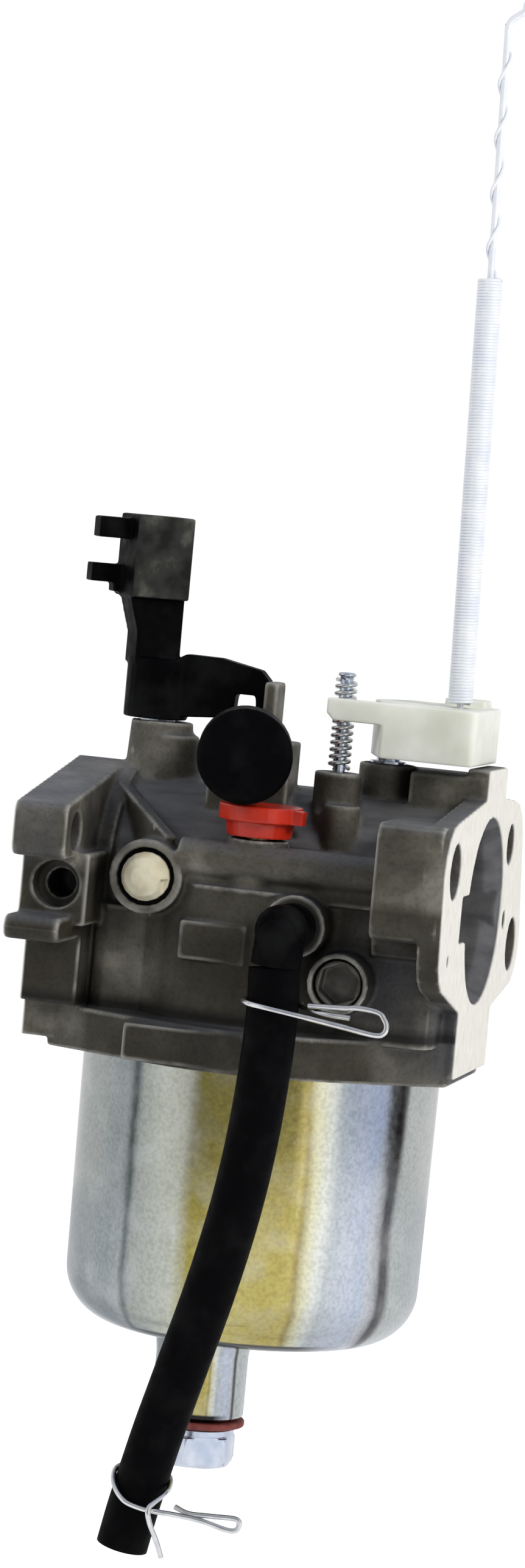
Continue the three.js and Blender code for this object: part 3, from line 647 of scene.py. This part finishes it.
BOWL_TOP = -28.1
BOWL_RADIUS = 30
BOWL_DRAFT = 0.35
BOWL_WALL = 1
BOWL_CORNER = 9
STEM_RADIUS = 7.8
STEM_BORE = 4.4

refined("carburetor_body", "cast_body", 0.36, 7, "carburetor", "cast_alloy")


def bowl_side(inset):
    """The bowl's side and rounded bottom edge, from top to floor, moved inward by inset."""
    radius, floor = BOWL_RADIUS - inset, BOWL_FLOOR + inset
    corner = BOWL_CORNER - inset
    wall = BOWL_TOP - floor - corner
    points = []
    for t in (0, 0.004, 0.02, 0.1, 0.3, 0.5, 0.7, 0.9, 0.98):
        points.append((radius - BOWL_DRAFT * t, BOWL_TOP - wall * t))
    for degrees in range(0, 91, 5):
        angle = math.radians(degrees)
        points.append((radius - BOWL_DRAFT - corner * (1 - math.cos(angle)),
                       floor + corner * (1 - math.sin(angle))))
    return points


def make_bowl():
    """The drawn shell, with a shallow groove pressed into its floor."""
    groove = [(19.6, BOWL_FLOOR), (19.3, BOWL_FLOOR + 0.35), (18.9, BOWL_FLOOR + 0.4),
              (0.01, BOWL_FLOOR + 0.5)]
    inside = [(0.01, BOWL_FLOOR + BOWL_WALL + 0.2)] + list(reversed(bowl_side(BOWL_WALL)))
    make_piece("bowl_shell", lathe(bowl_side(0) + groove + inside, (BOWL_X, 0), "z", 192), "carburetor",
               "plated_bowl", ["float_bowl"])


def make_stem():
    """The stem flares out of the bowl's floor, off its centre, with the red ring under its end."""
    stem = [(11.6, BOWL_FLOOR + 0.5), (10.2, BOWL_FLOOR - 0.05), (9.2, BOWL_FLOOR - 0.6),
            (8.5, BOWL_FLOOR - 1.5), (8.05, BOWL_FLOOR - 3), (STEM_RADIUS, BOWL_FLOOR - 5),
            (STEM_RADIUS, STEM_BOTTOM + 0.7), (STEM_RADIUS - 0.2, STEM_BOTTOM + 0.2),
            (STEM_RADIUS - 0.8, STEM_BOTTOM), (STEM_BORE, STEM_BOTTOM), (STEM_BORE, BOWL_FLOOR + 0.5)]
    make_piece("bowl_stem", lathe(stem, (STEM_X, 0), "z", 96), "carburetor", "plated_bowl", ["float_bowl"],
               "plated_stem")
    ring = rounded_profile([(4.5, -91.4), (8.1, -91.4), (8.1, -90.3), (4.5, -90.3)], 0.4)
    make_piece("bolt_seal_ring", lathe(ring, (STEM_X, 0), "z", 96), "carburetor", "red_fibre",
               ["bowl_bolt_seal"])


HEX_FLATS = 12.4
HEX_CORNER = math.radians(60)
BOLT_BOTTOM = -98.2
BOLT_TOP = -91.7
SHANK_TOP = -64.5


def make_bolt():
    """Flanged hexagon bolt: its radius at each angle is the smaller of the hexagon and the chamfer."""
    outline = [(0.01, BOLT_BOTTOM + 0.25), (4.2, BOLT_BOTTOM + 0.25), (4.6, BOLT_BOTTOM), (6.0, BOLT_BOTTOM),
               (6.7, BOLT_BOTTOM + 0.5), (7.3, BOLT_BOTTOM + 1.1), (7.3, BOLT_TOP - 2.0),
               (6.9, BOLT_TOP - 1.5), (6.4, BOLT_TOP - 1.25), (6.5, BOLT_TOP - 1.1), (6.5, BOLT_TOP - 0.2),
               (6.3, BOLT_TOP), (3.9, BOLT_TOP), (3.9, SHANK_TOP), (0.01, SHANK_TOP)]
    segments = 180
    rings = []
    for radius, height in outline:
        hexed = height < BOLT_TOP - 1.2
        ring = []
        for k in range(segments):
            angle = 2 * math.pi * k / segments
            from_flat = (angle + HEX_CORNER / 2) % HEX_CORNER - HEX_CORNER / 2
            flat = HEX_FLATS / 2 / math.cos(from_flat) - 0.06
            r = min(radius, flat) if hexed else radius
            ring.append(((STEM_X + r * math.cos(angle)) * MM, r * math.sin(angle) * MM, height * MM))
        rings.append(ring)
    bolt = make_piece("bowl_bolt_head", skin_of_rings(rings, True), "carburetor", "zinc_steel",
                      ["bowl_bolt"])
    bolt.data.set_sharp_from_angle(angle=math.radians(24))


make_bowl()
make_stem()
make_bolt()

# ---- Levers, adjusters, caps and plugs ---------------------------------------------------

refined("throttle_lever", "throttle_arm", 0.22, 6, "throttle", "nylon")
refined("choke_lever", "choke_arm", 0.25, 5, "choke", "black_plastic", "handled_plastic")
refined("mixture_limiter_cap", "limiter_cap", 0.2, 5, "mixture", "red_plastic")
refined("primer_port_cap", "port_cap", 0.22, 6, "carburetor", "black_rubber")
refined("pilot_jet", "pilot_plug", 0.16, 7, "carburetor", "cream_plastic")
refined("passage_plug", "socket_plug", 0.16, 5, "carburetor", "dull_steel")

IDLE_X = -25.1
IDLE_Y = -8.8
IDLE_SPRING = (21.35, 36.6)
IDLE_SPRING_RADIUS = 1.93
IDLE_WIRE = 0.36
IDLE_PITCH = 1.16
THREAD_STEP = 0.5


def helix(centre, radius, low, high, pitch, per_turn=16):
    """A coil of even pitch about an upright axis, from low to high."""
    turns = (high - low) / pitch
    count = int(turns * per_turn)
    angle = 2 * math.pi * np.arange(count + 1) / per_turn
    height = low + (high - low) * np.arange(count + 1) / count
    return np.stack([centre[0] + radius * np.cos(angle), centre[1] + radius * np.sin(angle), height], 1)


def make_idle_screw():
    """The threaded screw with a small head, and the spring round it."""
    coil = helix((IDLE_X, IDLE_Y), IDLE_SPRING_RADIUS - IDLE_WIRE, IDLE_SPRING[0] + IDLE_WIRE,
                 IDLE_SPRING[1] - IDLE_WIRE, IDLE_PITCH)
    wire("idle_coil", coil, IDLE_WIRE, "carburetor", "spring_steel", ["idle_screw_spring"])
    thread = [(0.01, 10), (1.0, 10)]
    height = 10.2
    while height < IDLE_SPRING[1]:
        thread += [(0.96, height), (1.15, height + THREAD_STEP / 2)]
        height += THREAD_STEP
    thread += [(1.15, 36.9), (1.45, 36.9), (1.5, 37.3), (1.2, 37.5), (0.01, 37.5)]
    make_piece("idle_screw_body", lathe(thread, (IDLE_X, IDLE_Y), "z", 40), "idle_screw", "zinc_steel",
               ["idle_speed_screw"])


make_idle_screw()

# ---- Governor link -----------------------------------------------------------------------

LINK_FOOT = (-6.9, -3.0, 33.3)
LINK_LEAN = math.radians(1.4)
ROD_LENGTH = 114
ROD_RADIUS = 0.55
SPRING_TOP = 71
SPRING_RADIUS = 2.15
SPRING_WIRE = 0.27
SPRING_PITCH = 0.5
TAIL_RADIUS = 0.82
TAIL_PITCH = 9


def leaned(path):
    """Points built upright from the lever's top, moved onto the link's leaning axis."""
    x, y, z = path[:, 0], path[:, 1], path[:, 2]
    c, s = math.cos(LINK_LEAN), math.sin(LINK_LEAN)
    return np.stack([LINK_FOOT[0] + x * c - z * s, LINK_FOOT[1] + y, LINK_FOOT[2] + z * c + x * s], 1)


def make_link():
    """The rod with its hooked end, and its spring, whose last wire winds up along the rod."""
    rod = smooth_path([[0, 0, -8.4], [0, 0, 6], [0, 0, 40], [0, 0, ROD_LENGTH - 8], [0, 0, ROD_LENGTH - 2.6],
                       [0.35, 0, ROD_LENGTH - 1], [1.5, 0, ROD_LENGTH], [2.6, 0, ROD_LENGTH + 0.8],
                       [2.9, 0, ROD_LENGTH + 2.2]], 8)
    wire("link_rod", leaned(rod), ROD_RADIUS, "governor_link", "zinc_steel", ["governor_link_rod"],
         "link_zinc_painted_bright", 4)
    coil = helix((0, 0), SPRING_RADIUS - SPRING_WIRE, 0.7, SPRING_TOP - 0.3, SPRING_PITCH, 14)
    height = np.linspace(SPRING_TOP, ROD_LENGTH - 6, 150)
    turn = (height - SPRING_TOP) * 2 * math.pi / TAIL_PITCH
    tail = np.stack([TAIL_RADIUS * np.cos(turn), TAIL_RADIUS * np.sin(turn), height], 1)
    wire("link_spring", leaned(np.vstack([coil, tail])), SPRING_WIRE, "governor_link", "spring_steel",
         ["throttle_return_spring"], "link_zinc_painted_bright", 2)


make_link()

# ---- Floor, light and view ---------------------------------------------------------------

FLOOR_HEIGHT = -0.122
FLOOR_RADII = (0.5, 0.3, 0.1)
FLOOR_SIDES = 96
FLOOR_GLOW = 0.75


def make_floor():
    """A pale disc, which glows a little to the camera so that it reads as white paper."""
    rings = []
    for radius in FLOOR_RADII:
        angles = [2 * math.pi * k / FLOOR_SIDES for k in range(FLOOR_SIDES)]
        rings.append([(radius * math.cos(a), radius * math.sin(a), FLOOR_HEIGHT) for a in angles])
    vertices, faces = skin_of_rings(rings, False)
    # The cap over the outermost ring is left out: it would lie on top of the others.
    *bands, _, middle = faces
    mesh = bpy.data.meshes.new("floor")
    mesh.from_pydata(vertices, [], [*bands, middle])
    floor = bpy.data.objects.new("floor", mesh)
    bpy.context.scene.collection.objects.link(floor)
    f = Finish("floor_paper", {"Emission Color": (*WHITE, 1)})
    f.colour(f.ramp(f.noise(3, 3), [(0.3, (0.90, 0.90, 0.90)), (0.7, (0.93, 0.93, 0.93))]))
    f.rough(f.span(f.noise(40, 2), 0.3, 0.7, 0.85, 0.95))
    seen = f.node("ShaderNodeLightPath").outputs["Is Camera Ray"]
    f.link(f.times(seen, FLOOR_GLOW), f.shader.inputs["Emission Strength"])
    mesh.materials.append(f.material)


# Brightness and tint of the studio walls by compass direction, in degrees round from the front.
WALLS = [
    (-180, (1.2, 1.2, 1.2)), (-100, (1.2, 1.2, 1.2)), (-80, (1.0, 1.02, 1.05)), (-74, (0.3, 0.32, 0.35)),
    (-67, (1.15, 1.18, 1.2)), (-48, (1.35, 1.35, 1.35)), (-35, (1.0, 1.0, 1.0)), (-27, (0.5, 0.5, 0.5)),
    (0, (0.42, 0.42, 0.42)), (38, (0.5, 0.5, 0.5)), (46, (1.9, 1.9, 1.9)), (62, (1.5, 1.5, 1.5)),
    (75, (0.95, 1.0, 1.12)), (103, (0.85, 0.92, 1.1)), (109, (0.1, 0.1, 0.1)), (120, (0.12, 0.12, 0.12)),
    (127, (1.15, 1.15, 1.15)), (180, (1.2, 1.2, 1.2)),
]
WALL_LEVEL = 0.66
CEILING = (0.62, 0.66, 0.78)
CEILING_FADE = (0.45, 0.85)
BACKDROP = (1.05, 1.05, 1.05)


def make_world():
    """White to the camera; the metal reflects walls of uneven brightness and a cool ceiling."""
    world = bpy.data.worlds.new("studio")
    bpy.context.scene.world = world
    world.use_nodes = True
    w = Nodes(world.node_tree, "Generated")
    compass = w.math("ARCTAN2", w.axis(0), w.times(w.axis(1), -1.0))
    turn = w.span(compass, -math.pi, math.pi)
    walls = w.ramp(turn, [((degrees + 180) / 360, colour) for degrees, colour in WALLS])
    studio = w.mix(w.span(w.axis(2), *CEILING_FADE), walls, CEILING)
    dimmed = w.mix(1 - WALL_LEVEL, studio, BLACK)
    seen = w.node("ShaderNodeLightPath").outputs["Is Camera Ray"]
    w.link(w.mix(seen, dimmed, BACKDROP), w.tree.nodes["Background"].inputs["Color"])


def make_light(name, azimuth, elevation, distance, size, watts, colour):
    """A soft round light aimed at the part, which shiny pieces don't mirror."""
    a, e = math.radians(azimuth), math.radians(elevation)
    back = Vector((math.sin(a) * math.cos(e), -math.cos(a) * math.cos(e), math.sin(e)))
    data = bpy.data.lights.new(name, "AREA")
    data.shape = "DISK"
    data.size = size
    data.energy = watts
    data.color = colour
    light = bpy.data.objects.new(name, data)
    light.location = VIEW_TARGET + back * distance
    light.visible_glossy = False
    light.rotation_euler = back.to_track_quat("Z", "Y").to_euler()
    bpy.context.scene.collection.objects.link(light)


make_floor()
make_world()
make_light("key", 62, 30, 0.8, 0.3, 4.2, (1.0, 0.98, 0.95))
make_light("fill", -58, 30, 0.9, 0.3, 2.2, (0.96, 0.98, 1.0))
bpy.context.scene.view_settings.view_transform = "Standard"
